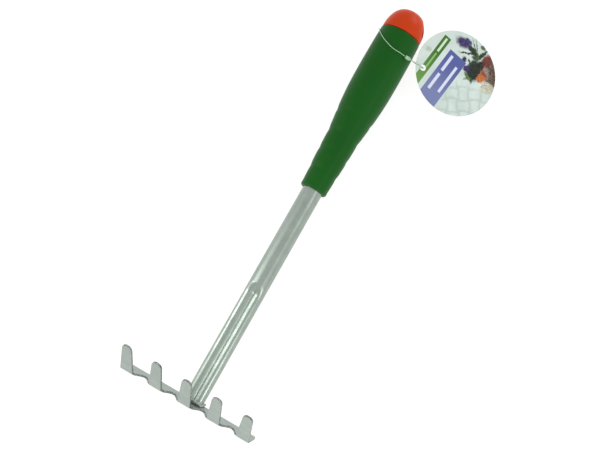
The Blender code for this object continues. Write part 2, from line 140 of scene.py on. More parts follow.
HANG_Y = 339.5 * MM
HANG_LENGTH = 14.0 * MM
HANG_HEIGHT = 8.4 * MM
HANG_RIM = 0.5 * MM
CUTTER_REACH = 22 * MM

# Tag and loop, in the frame the rake lies in.
TAG_RADIUS = 34.0 * MM
TAG_THICKNESS = 0.5 * MM
TAG_CENTRE = Vector((53.37, 150.24, 12.42)) * MM
TAG_AZIMUTH = math.radians(13.12)
TAG_SLOPE = math.radians(20.56)
HOLE_OFFSET = Vector((-27.35, -6.23)) * MM
HOLE_RADIUS = 2.5 * MM
TAG_U = Vector((math.cos(TAG_AZIMUTH) * math.cos(TAG_SLOPE),
                math.sin(TAG_AZIMUTH) * math.cos(TAG_SLOPE), -math.sin(TAG_SLOPE)))
TAG_V = Vector((-math.sin(TAG_AZIMUTH), math.cos(TAG_AZIMUTH), 0))
TAG_N = TAG_U.cross(TAG_V)
TAG = Matrix.Translation(TAG_CENTRE) @ Matrix((TAG_U, TAG_V, TAG_N)).transposed().to_4x4()
CORD_DIAMETER = 0.7 * MM
LOCK_LENGTH = 4.8 * MM
LOCK_RADIUS = 1.45 * MM
LOCK_BORE = 0.75 * MM
LOCK_CENTRE = Vector((16.7, 136.8, 29.95)) * MM
LOCK_AXIS = Vector((0.83, 0.10, -0.545)).normalized()
LOCK_TURN = Vector((0, 1, 0)).rotation_difference(LOCK_AXIS)
LOCK = Matrix.Translation(LOCK_CENTRE) @ LOCK_TURN.to_matrix().to_4x4()
BARB_RADIUS = 0.42 * MM
BARB_LENGTH = 1.6 * MM
LOOP_ROUTE = (
    (14.4, 136.5, 31.4), (9.7, 136.1, 34.7), (5.4, 136.1, 35.4), (1.6, 136.9, 35.6),
    (-2.8, 138.7, 34.9), (-7.4, 141.4, 32.6), (-11.4, 145.1, 29.2), (-14.0, 148.4, 25.0),
    (-15.3, 150.6, 20.4), (-15.3, 152.0, 15.8), (-14.0, 152.7, 11.2), (-11.4, 152.8, 7.2),
    (-7.5, 152.5, 3.8), (-2.8, 152.0, 1.5), (1.9, 151.1, 0.8), (6.6, 149.8, 1.3),
    (11.0, 148.1, 3.1), (15.5, 145.7, 6.2), (20.7, 143.0, 10.6), (25.5, 140.5, 15.0),
    (29.0, 139.0, 18.9), (30.2, 138.5, 20.8), (29.8, 138.35, 22.5), (28.0, 138.0, 24.2),
    (23.7, 137.5, 26.6), (19.0, 137.1, 28.4))


# ---------------------------------------------------------------- camera

def build_camera():
    """The scene's camera, on a full-frame sensor."""
    data = bpy.data.cameras.new("camera")
    data.lens = CAMERA_LENS
    data.sensor_width = 36.0
    camera = bpy.data.objects.new("camera", data)
    camera.location = CAMERA_PLACE
    camera.rotation_euler = [math.radians(a) for a in CAMERA_TURN]
    bpy.context.scene.collection.objects.link(camera)
    bpy.context.scene.camera = camera


# ---------------------------------------------------------------- mesh helpers

def finish_piece(name, bm, materials, body, replaced=(), place=RAKE, smooth_angle=40):
    """Turn a bmesh into a piece that rides on a CAD body."""
    bmesh.ops.remove_doubles(bm, verts=bm.verts, dist=1e-7)
    bmesh.ops.recalc_face_normals(bm, faces=bm.faces)
    mesh = bpy.data.meshes.new(name)
    bm.to_mesh(mesh)
    bm.free()
    mesh.shade_smooth()
    mesh.set_sharp_from_angle(angle=math.radians(smooth_angle))
    for mat in materials:
        mesh.materials.append(mat)
    obj = bpy.data.objects.new(name, mesh)
    bpy.context.scene.collection.objects.link(obj)
    obj.matrix_world = place
    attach(obj, body)
    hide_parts(*replaced)
    return obj


def smooth_step(t):
    """0 below 0, 1 above 1, smooth between."""
    t = min(max(t, 0.0), 1.0)
    return t * t * (3.0 - 2.0 * t)


def bridge_rings(bm, rings, closed=False):
    """Faces between neighbouring rings of vertices; a ring of one vertex is a pole."""
    pairs = list(zip(rings, rings[1:]))
    if closed:
        pairs.append((rings[-1], rings[0]))
    for near, far in pairs:
        count = max(len(near), len(far))
        for i in range(count):
            j = (i + 1) % count
            corners = [near[i % len(near)], near[j % len(near)], far[j % len(far)], far[i % len(far)]]
            bm.faces.new(list(dict.fromkeys(corners)))


def circle(sides, start=0.0):
    """Equally spaced turns once round, in radians."""
    return [start + 2 * math.pi * i / sides for i in range(sides)]


def lathe(profile, sides, closed=False):
    """Solid turned about the Y axis from (y, radius) points; radius 0 closes an end."""
    bm = bmesh.new()
    rings = []
    for y, radius in profile:
        if radius == 0.0:
            rings.append([bm.verts.new((0, y, 0))])
            continue
        spots = [(radius * math.sin(turn), y, radius * math.cos(turn)) for turn in circle(sides)]
        rings.append([bm.verts.new(spot) for spot in spots])
    bridge_rings(bm, rings, closed)
    return bm


def fillet(profile, radius, steps=4):
    """The same (y, r) outline with each corner between its ends rounded by a smooth curve."""
    rounded = [profile[0]]
    for before, here, after in zip(profile, profile[1:], profile[2:]):
        corner = Vector(here)
        arm_in, arm_out = Vector(before) - corner, Vector(after) - corner
        reach = min(radius, arm_in.length * 0.45, arm_out.length * 0.45)
        start = corner + arm_in.normalized() * reach
        end = corner + arm_out.normalized() * reach
        for k in range(steps + 1):
            t = k / steps
            rounded.append(tuple(start * (1 - t) ** 2 + corner * 2 * t * (1 - t) + end * t * t))
    rounded.append(profile[-1])
    return rounded


def bevel_edges(obj, name, width, sharper_than):
    """Bevel modifier on the edges that turn by more than an angle in degrees."""
    bevel = obj.modifiers.new(name, "BEVEL")
    bevel.width = width
    bevel.segments = 3
    bevel.limit_method = "ANGLE"
    bevel.angle_limit = math.radians(sharper_than)
    return bevel


# ---------------------------------------------------------------- material helpers

class Nodes:
    """Short names for building one Principled material."""

    def __init__(self, name):
        self.mat = bpy.data.materials.new(name)
        self.mat.use_nodes = True
        self.tree = self.mat.node_tree
        self.shader = self.tree.nodes["Principled BSDF"]
        self.coords = self.tree.nodes.new("ShaderNodeTexCoord").outputs["Object"]

    def feed(self, socket, value):
        """Link another node's output to a socket, or set the socket to a constant."""
        if isinstance(value, bpy.types.NodeSocket):
            self.tree.links.new(value, socket)
        else:
            socket.default_value = value

    def add(self, kind, inputs=None, **attrs):
        """New node with its inputs fed and its settings made."""
        node = self.tree.nodes.new("ShaderNode" + kind)
        for key, value in attrs.items():
            setattr(node, key, value)
        for key, value in (inputs or {}).items():
            self.feed(node.inputs[key], value)
        return node

    def set(self, **values):
        """Feed the shader's own inputs, with _ for each space in a name."""
        for key, value in values.items():
            self.feed(self.shader.inputs[key.replace("_", " ")], value)

    def scaled(self, x, y, z):
        """Object coordinates stretched along each axis."""
        return self.add("Mapping", {"Vector": self.coords, "Scale": (x, y, z)}).outputs["Vector"]

    def noise(self, vector, scale, detail=3.0, rough=0.5):
        inputs = {"Vector": vector, "Scale": scale, "Detail": detail, "Roughness": rough}
        return self.add("TexNoise", inputs).outputs["Fac"]

    def ramp(self, value, low, high, out_low=0.0, out_high=1.0):
        """The value's way from low to high, as a way from out_low to out_high."""
        inputs = {"Value": value, "From Min": low, "From Max": high}
        inputs.update({"To Min": out_low, "To Max": out_high})
        return self.add("MapRange", inputs).outputs["Result"]

    def mix(self, share, first, second):
        """Mix of two colours; the node has sockets of the same names for other kinds of value."""
        node = self.add("Mix", data_type="RGBA")
        wanted = ("Factor", "VALUE", share), ("A", "RGBA", first), ("B", "RGBA", second)
        for key, kind, value in wanted:
            self.feed([s for s in node.inputs if (s.name, s.type) == (key, kind)][0], value)
        return [s for s in node.outputs if s.type == "RGBA"][0]

    def tone(self, value, low, high, dark, light):
        """Colour that goes from dark to light while the value goes from low to high."""
        return self.mix(self.ramp(value, low, high), rgb(*dark), rgb(*light))

    def math(self, op, first, second=0.0):
        return self.add("Math", {0: first, 1: second}, operation=op).outputs["Value"]

    def bump(self, height, strength, distance):
        inputs = {"Height": height, "Strength": strength, "Distance": distance}
        return self.add("Bump", inputs).outputs["Normal"]


def rgb(r, g, b):
    return (r, g, b, 1.0)


INK_SHARE = 0.88                     # of the nominal colour, because the studio is bright


def ink(*parts):
    """Printed colour from its nominal red, green and blue parts of 255."""
    shares = [p / 255 for p in parts]
    linear = [c / 12.92 if c <= 0.04045 else ((c + 0.055) / 1.055) ** 2.4 for c in shares]
    return (*(INK_SHARE * c for c in linear), 1.0)


def steel_material(name, light, dark, rough, along):
    """Zinc-plated steel with fine drawing lines along one axis and a faint cloudy bloom."""
    n = Nodes(name)
    stretch = [900.0, 900.0, 900.0]
    stretch[along] = 14.0
    lines = n.noise(n.scaled(*stretch), 1.0, 2.0)
    cloud = n.noise(n.coords, 130.0, 4.0, 0.6)
    grain = n.noise(n.coords, 2600.0, 2.0)
    bloom = n.math("ADD", n.math("MULTIPLY", cloud, 0.6), n.math("MULTIPLY", lines, 0.4))
    colour = n.tone(bloom, 0.36, 0.64, dark, light)
    roughness = n.ramp(bloom, 0.35, 0.65, rough + 0.07, rough - 0.05)
    height = n.math("ADD", n.math("MULTIPLY", lines, 0.5), n.math("MULTIPLY", grain, 0.5))
    n.set(Base_Color=colour, Roughness=roughness, Metallic=0.85)
    n.set(Normal=n.bump(height, 0.25, 0.00004))
    return n.mat


def sheared_material():
    """Sheared steel edge: smooth metal broken by torn, darker patches."""
    n = Nodes("sheared_edge")
    tear = n.noise(n.coords, 900.0, 4.0, 0.7)
    line = n.noise(n.scaled(500.0, 500.0, 2200.0), 1.0, 2.0)
    base = n.tone(tear, 0.42, 0.62, (0.10, 0.11, 0.10), (0.40, 0.43, 0.40))
    n.set(Base_Color=base, Metallic=0.8, Roughness=n.ramp(line, 0.35, 0.65, 0.34, 0.55))
    n.set(Normal=n.bump(n.math("ADD", tear, line), 0.35, 0.0001))
    return n.mat


def plastic_material(name, colour, deep, rough):
    """Moulded plastic: fine spark-eroded grain, faint flow marks and a few handling scuffs."""
    n = Nodes(name)
    grain = n.noise(n.coords, 1500.0, 2.0, 0.6)
    flow = n.noise(n.scaled(30.0, 9.0, 30.0), 1.0, 3.0)
    scuff = n.noise(n.scaled(160.0, 35.0, 160.0), 1.0, 5.0, 0.65)
    base = n.tone(flow, 0.35, 0.65, deep, colour)
    roughness = n.math("ADD", n.ramp(grain, 0.3, 0.7, rough - 0.03, rough + 0.03),
                       n.ramp(scuff, 0.58, 0.72, 0.0, 0.10))
    n.set(Base_Color=base, Roughness=roughness, Normal=n.bump(grain, 0.18, 0.00006))
    n.set(Specular_IOR_Level=0.16)
    return n.mat


def weld_material():
    """Rough weld metal, mottled dark and bright."""
    n = Nodes("weld_metal")
    cloud = n.noise(n.coords, 700.0, 4.0, 0.65)
    fine = n.noise(n.coords, 2500.0, 3.0, 0.6)
    base = n.tone(cloud, 0.38, 0.62, (0.12, 0.13, 0.12), (0.46, 0.50, 0.46))
    n.set(Base_Color=base, Metallic=0.85, Roughness=n.ramp(fine, 0.35, 0.65, 0.32, 0.6))
    n.set(Normal=n.bump(n.math("ADD", cloud, fine), 0.5, 0.0002))
    return n.mat


def nylon_material():
    """Pale translucent nylon."""
    n = Nodes("clear_nylon")
    cloud = n.noise(n.coords, 900.0, 2.0)
    base = n.tone(cloud, 0.35, 0.65, (0.27, 0.48, 0.28), (0.38, 0.60, 0.39))
    n.set(Base_Color=base, Roughness=n.ramp(cloud, 0.3, 0.7, 0.22, 0.34))
    n.set(Transmission_Weight=0.25, IOR=1.53)
    return n.mat


# ---------------------------------------------------------------- head

STRIP_IN = Vector((0, math.sin(STRIP_DIP), math.cos(STRIP_DIP)))
STRIP_DOWN = Vector((0, math.cos(STRIP_DIP), -math.sin(STRIP_DIP)))
TINE_IN = Vector((0, math.sin(TINE_RISE), -math.cos(TINE_RISE)))
TINE_UP = Vector((0, math.cos(TINE_RISE), math.sin(TINE_RISE)))
FOLD = STRIP_IN.angle(TINE_IN)
FOLD_OUTER = FOLD_RADIUS + PLATE
SETBACK = FOLD_OUTER * math.tan(FOLD / 2)
FOLD_EDGE = Vector((0, FOLD_Y, FOLD_Z))
FOLD_CENTRE = FOLD_EDGE + (STRIP_IN + TINE_IN).normalized() * FOLD_OUTER / math.cos(FOLD / 2)
FOLD_STEPS = 12


def folded(x, u, inner):
    """Place a point of the flat blank: u runs up the tines from the fold, inner picks the face."""
    radius = FOLD_OUTER - (PLATE if inner else 0.0)
    across = Vector((x, 0, 0))
    if u <= 0:
        return across + FOLD_CENTRE - STRIP_IN * radius - STRIP_DOWN * u
    turned = min(u / (FOLD_OUTER * FOLD), 1.0) * FOLD
    outward = -(Matrix.Rotation(-turned, 3, "X") @ STRIP_IN)
    beyond = max(u - FOLD_OUTER * FOLD, 0.0)
    return across + FOLD_CENTRE + outward * radius + TINE_UP * beyond


def tine_outline(centre, index):
    """Blade of one tine in the flat, right side up to the tip and down the left side."""
    start = FOLD_OUTER * FOLD
    straight = TINE_LENGTH - SETBACK - TINE_TIP
    points = []
    for step in range(TIP_STEPS + 1):
        turn = math.pi / 2 * step / TIP_STEPS
        points.append((TINE_END / 2 * math.cos(turn), start + straight + TINE_TIP * math.sin(turn)))
    lean = math.tan(TINE_SPLAY * index)
    right = [(centre + x + lean * (u - start), u) for x, u in points]
    left = [(centre - x + lean * (u - start), u) for x, u in points[:-1]]
    return right + left[::-1]


def build_head(mat, edge_mat):
    """The folded strip with its five tines, its sheared edges broken by a small bevel."""
    centres = [(i - (TINES - 1) / 2) * TINE_PITCH for i in range(TINES)]
    strip_depth = STRIP_DEPTH - SETBACK
    half = TINE_BASE / 2
    flat, faces, strip_edge = [], [], []

    def point(x, u):
        flat.append((x, u))
        return len(flat) - 1

    for index, centre in enumerate(centres):
        rows = []
        for step in range(FOLD_STEPS + 1):
            u = FOLD_OUTER * FOLD * step / FOLD_STEPS
            rows.append((point(centre - half, u), point(centre + half, u)))
        for low, high in zip(rows, rows[1:]):
            faces.append([low[0], low[1], high[1], high[0]])
        blade = [point(x, u) for x, u in tine_outline(centre, index - (TINES - 1) / 2)]
        faces.append([rows[-1][0], rows[-1][1]] + blade)
        strip_edge += [rows[0][0], rows[0][1]]
        if index < TINES - 1:
            gap = TINE_PITCH - TINE_BASE
            for step in range(1, SCALLOP_STEPS):
                share = step / SCALLOP_STEPS
                depth = SCALLOP * math.sin(math.pi * share) ** SCALLOP_POWER
                spot = (centre + half + gap * share, -max(depth - SETBACK, 0.006 * MM * step))
                strip_edge.append(point(*spot))
    end = centres[-1] + half
    for side in (1, -1):
        turns = [math.pi / 2 * k / CORNER_STEPS for k in range(CORNER_STEPS + 1)]
        for turn in turns[::side]:
            x = side * (end - CORNER + CORNER * math.cos(turn))
            strip_edge.append(point(x, -(strip_depth - CORNER + CORNER * math.sin(turn))))
    faces.append(strip_edge)

    bm = bmesh.new()
    outer = [bm.verts.new(folded(x, u, False)) for x, u in flat]
    inner = [bm.verts.new(folded(x, u, True)) for x, u in flat]
    edge_use = {}
    for face in faces:
        bm.faces.new([outer[i] for i in face])
        bm.faces.new([inner[i] for i in reversed(face)])
        for a, b in zip(face, face[1:] + face[:1]):
            edge_use.setdefault(frozenset((a, b)), []).append((a, b))
    for uses in edge_use.values():
        if len(uses) == 1:
            a, b = uses[0]
            bm.faces.new([outer[b], outer[a], inner[a], inner[b]]).material_index = 1
    bm.transform(SKEW)
    head = finish_piece("head", bm, [mat, edge_mat], "rake", ["tine_head"], smooth_angle=35)
    bevel_edges(head, "broken_edges", PLATE_EDGE, 50).harden_normals = True


# ---------------------------------------------------------------- shaft and welds

def end_plane_y(x, z, clearance):
    """Y of the plane that lies a clearance above the skewed strip's inner face, over (x, z)."""
    level = FOLD_Y + (PLATE + clearance - math.cos(STRIP_DIP) * (z - FOLD_Z)) / math.sin(STRIP_DIP)
    return (level + math.sin(HEAD_SKEW) * x) / math.cos(HEAD_SKEW)


def shaft_outline(turn, y):
    """Point (x, z) of the shaft's outer skin; turn 0 is the crease pressed into its top."""
    x, z = SHAFT_RADIUS * math.sin(turn), SHAFT_RADIUS * math.cos(turn)
    along = (GROOVE_START - y) / GROOVE_RUN
    quarter = abs(turn) / (math.pi / 2)
    if along <= 0 or quarter >= 1:
        return x, z
    lag = GROOVE_ARCH * (1 - abs(math.cos(turn)))
    pressed = smooth_step(along * (1 + GROOVE_ARCH) - lag)
    crest, steepness = (RIGHT_LOBE, RIGHT_WALL) if turn > 0 else (LEFT_LOBE, LEFT_WALL)
    share = quarter / LOBE_SHARE - 1
    if share <= 0:
        lobe_x = crest + (CREASE_X - crest) * -share
        lobe_z = LOBE_HEIGHT - CREASE_DEPTH * (-share) ** steepness
    else:
        swing = math.pi / 2 * share * LOBE_SHARE / (1 - LOBE_SHARE)
        lobe_x = crest + (math.copysign(SHAFT_RADIUS, turn) - crest) * math.sin(swing)
        lobe_z = LOBE_HEIGHT * math.cos(swing)
    return x + (lobe_x - x) * pressed, z + (lobe_z - z) * pressed


def shaft_ring(y, inset, sides):
    """Ring of (x, z) points; inset shifts them square to the skin, into the wall."""
    ring = [Vector(shaft_outline(turn, y)) for turn in circle(sides, -math.pi)]
    moved = []
    for i, point in enumerate(ring):
        along = ring[(i + 1) % sides] - ring[i - 1]
        normal = Vector((along.y, -along.x)).normalized()
        moved.append(point + normal * inset)
    return moved


def build_shaft(mat):
    """The tube with its pressed groove, open at both ends."""
    sides = SHAFT_SIDES
    stations = [SHAFT_START, 20.0 * MM, 30.0 * MM, 45.0 * MM, 60.0 * MM, 75.0 * MM]
    stations += [GROOVE_START - GROOVE_RUN * k / 30 for k in range(36, -1, -1)]
    stations += [125.0 * MM, 150.0 * MM, 180.0 * MM, SHAFT_TOP]
    bm = bmesh.new()
    skins = []
    for inset in (0.0, SHAFT_WALL):
        front = shaft_ring(stations[0], inset, sides)
        rings = [[bm.verts.new((p.x, end_plane_y(p.x, p.y, GAP), p.y)) for p in front]]
        for y in stations:
            rings.append([bm.verts.new((p.x, y, p.y)) for p in shaft_ring(y, inset, sides)])
        skins.append(rings)
    bridge_rings(bm, skins[0] + skins[1][::-1], closed=True)
    finish_piece("shaft", bm, [mat], "rake", ["shaft_tube"], smooth_angle=50)


def side_weld_path(first_turn, last_turn, radius):
    """Centres of a bead that wraps one side of the shaft's end, between two turns in degrees."""
    centres = []
    for step in range(SIDE_WELD_STEPS + 1):
        turn = math.radians(first_turn + (last_turn - first_turn) * step / SIDE_WELD_STEPS)
        spot = Vector(shaft_outline(turn, SHAFT_START))
        ahead = Vector(shaft_outline(turn + 0.05, SHAFT_START))
        normal = Vector((-(ahead - spot).y, (ahead - spot).x)).normalized()
        spot += normal * (radius + GAP)
        centres.append(Vector((spot.x, end_plane_y(spot.x, spot.y, GAP + radius), spot.y)))
    return centres


def top_weld_path(left, right, radius):
    """Centres of the straight bead that lies across both crests of the pressed shaft."""
    crest = max(p.y for p in shaft_ring(SHAFT_START, 0.0, SHAFT_SIDES)) + radius + GAP
    spots = [left + (right - left) * step / TOP_WELD_STEPS for step in range(TOP_WELD_STEPS + 1)]
    return [Vector((x, end_plane_y(x, crest, GAP + radius), crest)) for x in spots]


def build_weld(name, centres, radius, node, mat):
    """A rippled bead in the corner between the shaft's end and the strip's inner face."""
    last = len(centres) - 1
    bm = bmesh.new()
    rings = []
    for i, centre in enumerate(centres):
        if i in (0, last):
            rings.append([bm.verts.new(centre)])
            continue
        along = (centres[i + 1] - centres[i - 1]).normalized()
        side = along.cross(STRIP_IN).normalized()
        up = side.cross(along)
        girth = radius * min(1.0, math.sin(math.pi * i / last) * 3.0) ** 0.5
        ring = []
        for turn in circle(WELD_SIDES):
            reach = side * math.cos(turn) + up * math.sin(turn)
            ripple = RIPPLE_DEPTH * (math.sin(i * WELD_RIPPLE + 1.3 * math.cos(turn)) - 1)
            pits = WELD_PITTING * abs(noise.noise((centre + reach * radius) * WELD_PITS))
            ring.append(bm.verts.new(centre + reach * girth * (1 + ripple - pits)))
        rings.append(ring)
    bridge_rings(bm, rings)
    finish_piece(name, bm, [mat], "rake", [node], smooth_angle=80)


# ---------------------------------------------------------------- grip and cap

def grip_radius(y):
    """Outer radius of the grip in millimetres, with its shallow finger rings."""
    stations = GRIP_STATIONS
    if y <= stations[0][0]:
        radius = stations[0][1]
    elif y >= stations[-1][0]:
        radius = stations[-1][1]
    else:
        k = max(i for i, s in enumerate(stations) if s[0] <= y)
        before = stations[max(k - 1, 0)]
        here, there = stations[k], stations[k + 1]
        after = stations[min(k + 2, len(stations) - 1)]
        span = there[0] - here[0]
        t = (y - here[0]) / span
        slope_in = (there[1] - before[1]) / (there[0] - before[0]) * span
        slope_out = (after[1] - here[1]) / (after[0] - here[0]) * span
        blend = smooth_step(t)
        radius = here[1] * (1 - blend) + there[1] * blend
        radius += slope_in * t * (1 - t) ** 2 - slope_out * t * t * (1 - t)
    for ring in GRIP_RINGS:
        radius -= RING_STEP * math.exp(-((y - ring) / RING_WIDTH) ** 2)
    return radius


def build_grip(mat):
    """Moulded grip, fine enough for its finger rings and rounded rims to show."""
    bore = SHAFT_RADIUS / MM + BORE_CLEARANCE
    front, rear = grip_radius(GRIP_FRONT + FRONT_RIM), grip_radius(GRIP_REAR)
    front_steps, rear_steps = 8, 5
    profile = [(BORE_DEPTH, 0.0), (BORE_DEPTH, bore), (GRIP_FRONT + BORE_CHAMFER, bore),
               (GRIP_FRONT, bore + BORE_CHAMFER), (GRIP_FRONT, grip_radius(GRIP_FRONT) - FRONT_RIM)]
    for k in range(1, front_steps + 1):
        turn = math.pi / 2 * k / front_steps
        y = GRIP_FRONT + FRONT_RIM - FRONT_RIM * math.cos(turn)
        profile.append((y, front - FRONT_RIM + FRONT_RIM * math.sin(turn)))
    y = GRIP_FRONT + FRONT_RIM + SKIN_STEP
    while y < GRIP_REAR - REAR_RIM - SKIN_STEP / 2:
        profile.append((y, grip_radius(y)))
        y += SKIN_STEP
    for k in range(rear_steps + 1):
        turn = math.pi / 2 * k / rear_steps
        y = GRIP_REAR - REAR_RIM + REAR_RIM * math.sin(turn)
        profile.append((y, rear - REAR_RIM + REAR_RIM * math.cos(turn)))
    profile += [(GRIP_REAR, REAR_BORE), (REAR_BORE_FLOOR, REAR_BORE), (REAR_BORE_FLOOR, 0.0)]
    bm = lathe([(y * MM, r * MM) for y, r in profile], TURNED_SIDES)
    finish_piece("handle_grip", bm, [mat], "rake", ["grip"])


def slot_cutter():
    """Stadium-shaped bar that cuts the hanging slot."""
    bm = bmesh.new()
    ends = []
    sides = 64
    for x in (-CUTTER_REACH, CUTTER_REACH):
        ring = []
        for turn in circle(sides, math.pi / sides):
            middle = math.copysign((HANG_LENGTH - HANG_HEIGHT) / 2, math.cos(turn))
            y = HANG_Y + middle + HANG_HEIGHT / 2 * math.cos(turn)
            ring.append(bm.verts.new((x, y, HANG_HEIGHT / 2 * math.sin(turn))))
        ends.append(ring)
    bridge_rings(bm, ends)
    for ring in ends:
        bm.faces.new(ring)
    bmesh.ops.recalc_face_normals(bm, faces=bm.faces)
    mesh = bpy.data.meshes.new("slot_cutter")
    bm.to_mesh(mesh)
    bm.free()
    cutter = bpy.data.objects.new("slot_cutter", mesh)
    bpy.context.scene.collection.objects.link(cutter)
    cutter.matrix_world = RAKE
    return cutter


def apply_modifiers(obj):
    """Bake an object's modifiers into its mesh."""
    bpy.context.view_layer.update()
    evaluated = obj.evaluated_get(bpy.context.evaluated_depsgraph_get())
    mesh = bpy.data.meshes.new_from_object(evaluated)
    obj.modifiers.clear()
    obj.data = mesh


def build_cap(mat):
    """Domed end cap with a spigot in the grip and a rounded hanging slot across the dome."""
    profile = [(SPIGOT_END, 0.0), (SPIGOT_END, SPIGOT - SPIGOT_CHAMFER),
               (SPIGOT_END + SPIGOT_CHAMFER, SPIGOT), (CAP_SEAM, SPIGOT)]
    profile += [(CAP_SEAM + rise, CAP_RADIUS - short) for rise, short in CAP_EDGE]
    height = CAP_TOP - CAP_SEAM - CAP_SKIRT
    for k in range(1, DOME_STEPS):
        turn = math.pi / 2 * k / DOME_STEPS
        rise = height * math.sin(turn) ** DOME_RISE
        profile.append((CAP_SEAM + CAP_SKIRT + rise, CAP_RADIUS * math.cos(turn) ** DOME_FALL))
    profile.append((CAP_TOP, 0.0))
    bm = lathe([(y * MM, r * MM) for y, r in profile], TURNED_SIDES)
    cap = finish_piece("cap", bm, [mat], "rake", ["end_cap"])
    cutter = slot_cutter()
    cut = cap.modifiers.new("hanging_slot", "BOOLEAN")
    cut.operation = "DIFFERENCE"
    cut.solver = "EXACT"
    cut.object = cutter
    bevel_edges(cap, "slot_rim", HANG_RIM, 45)
    apply_modifiers(cap)
    bpy.data.objects.remove(cutter, do_unlink=True)
    cap.data.shade_smooth()
    cap.data.set_sharp_from_angle(angle=math.radians(40))


# ---------------------------------------------------------------- tag and loop

# The card's print, in millimetres from its middle. Bands and bars are measured along and beside a
# slanting line, and plants in the card's own u and v. Colours are parts of 255.
PRINT_TURN = math.radians(69.5)
BANDS = (  # along from, along to, beside from, beside to, lower colour, upper colour
    (-60.0, 18.6, 19.0, 25.2, (104, 152, 72), (60, 112, 42)),
    (-60.0, 12.3, -1.8, 14.9, (118, 128, 172), (84, 94, 156)))
BARS = (  # along from, along to, beside from, beside to, colour
    (-25.0, -9.6, 9.2, 11.6, (216, 222, 240)), (-6.4, 9.0, 9.2, 11.6, (216, 222, 240)),
    (-22.0, 4.0, 1.2, 3.4, (216, 222, 240)),
    (-13.6, 1.6, 21.4, 22.7, (146, 186, 112)), (3.4, 16.8, 21.2, 23.0, (210, 228, 198)))
PLANTS = (  # u, v, half width, half height, turn in degrees, softness, dark and light colour
    (-27.0, 10.0, 2.4, 2.1, 0, 0.40, (176, 190, 172), (196, 206, 190)),
    (28.5, 12.0, 6.6, 15.0, 12, 0.16, (58, 46, 40), (128, 106, 88)),
    (21.5, 16.5, 3.8, 7.6, -8, 0.18, (92, 42, 40), (132, 66, 56)),
    (16.8, 21.5, 1.5, 6.8, -34, 0.22, (26, 44, 26), (52, 76, 44)),
    (9.0, 22.4, 2.5, 6.4, 62, 0.20, (22, 38, 26), (50, 74, 46)),
    (6.2, 19.3, 0.8, 8.2, -77, 0.30, (34, 50, 34), (70, 92, 62)),
    (9.4, 26.6, 0.5, 6.2, 33, 0.40, (66, 86, 62), (98, 118, 88)),
    (11.0, 27.0, 0.4, 5.6, 24, 0.40, (76, 98, 72), (104, 124, 92)),
    (12.5, 18.0, 3.6, 1.5, 12, 0.30, (44, 66, 38), (84, 108, 60)),
    (16.4, 28.0, 2.4, 1.6, -20, 0.25, (72, 92, 50), (104, 122, 76)),
    (-0.8, 26.0, 6.4, 4.1, -8, 0.30, (34, 22, 58), (84, 70, 132)),
    (3.2, 28.6, 3.0, 2.0, -30, 0.25, (40, 32, 70), (84, 74, 134)),
    (13.6, 7.4, 6.2, 8.8, -6, 0.16, (20, 28, 24), (42, 58, 46)),
    (17.4, 13.0, 3.0, 5.2, -20, 0.22, (24, 28, 24), (56, 54, 44)),
    (11.6, 13.4, 1.6, 3.0, -30, 0.25, (26, 44, 34), (54, 78, 58)),
    (8.3, 12.6, 0.9, 3.2, 24, 0.30, (36, 52, 46), (66, 88, 70)),
    (3.6, 13.4, 2.0, 2.4, 10, 0.22, (28, 30, 52), (62, 62, 96)),
    (6.9, 6.9, 2.9, 2.5, 20, 0.22, (46, 30, 76), (84, 64, 128)),
    (9.0, 1.6, 1.6, 3.6, 40, 0.25, (52, 76, 50), (110, 136, 96)),
    (13.2, -1.0, 1.0, 2.6, 20, 0.30, (48, 70, 44), (96, 122, 84)),
    (8.6, -1.4, 1.9, 0.8, 20, 0.30, (96, 122, 84), (140, 160, 120)),
    (24.3, 9.6, 2.4, 5.2, 26, 0.30, (124, 106, 96), (158, 148, 136)),
    (21.2, 4.4, 3.3, 5.0, -22, 0.14, (172, 84, 40), (206, 128, 70)),
    (22.8, 8.0, 3.2, 1.3, -24, 0.20, (132, 56, 34), (164, 78, 46)),
    (28.4, -1.6, 5.4, 4.6, 8, 0.14, (166, 164, 140), (214, 212, 192)),
    (25.0, -4.6, 3.0, 1.9, -10, 0.25, (188, 192, 172), (216, 220, 204)))
WEAVE_PITCH = 9.6
WEAVE_TURN = math.radians(17)


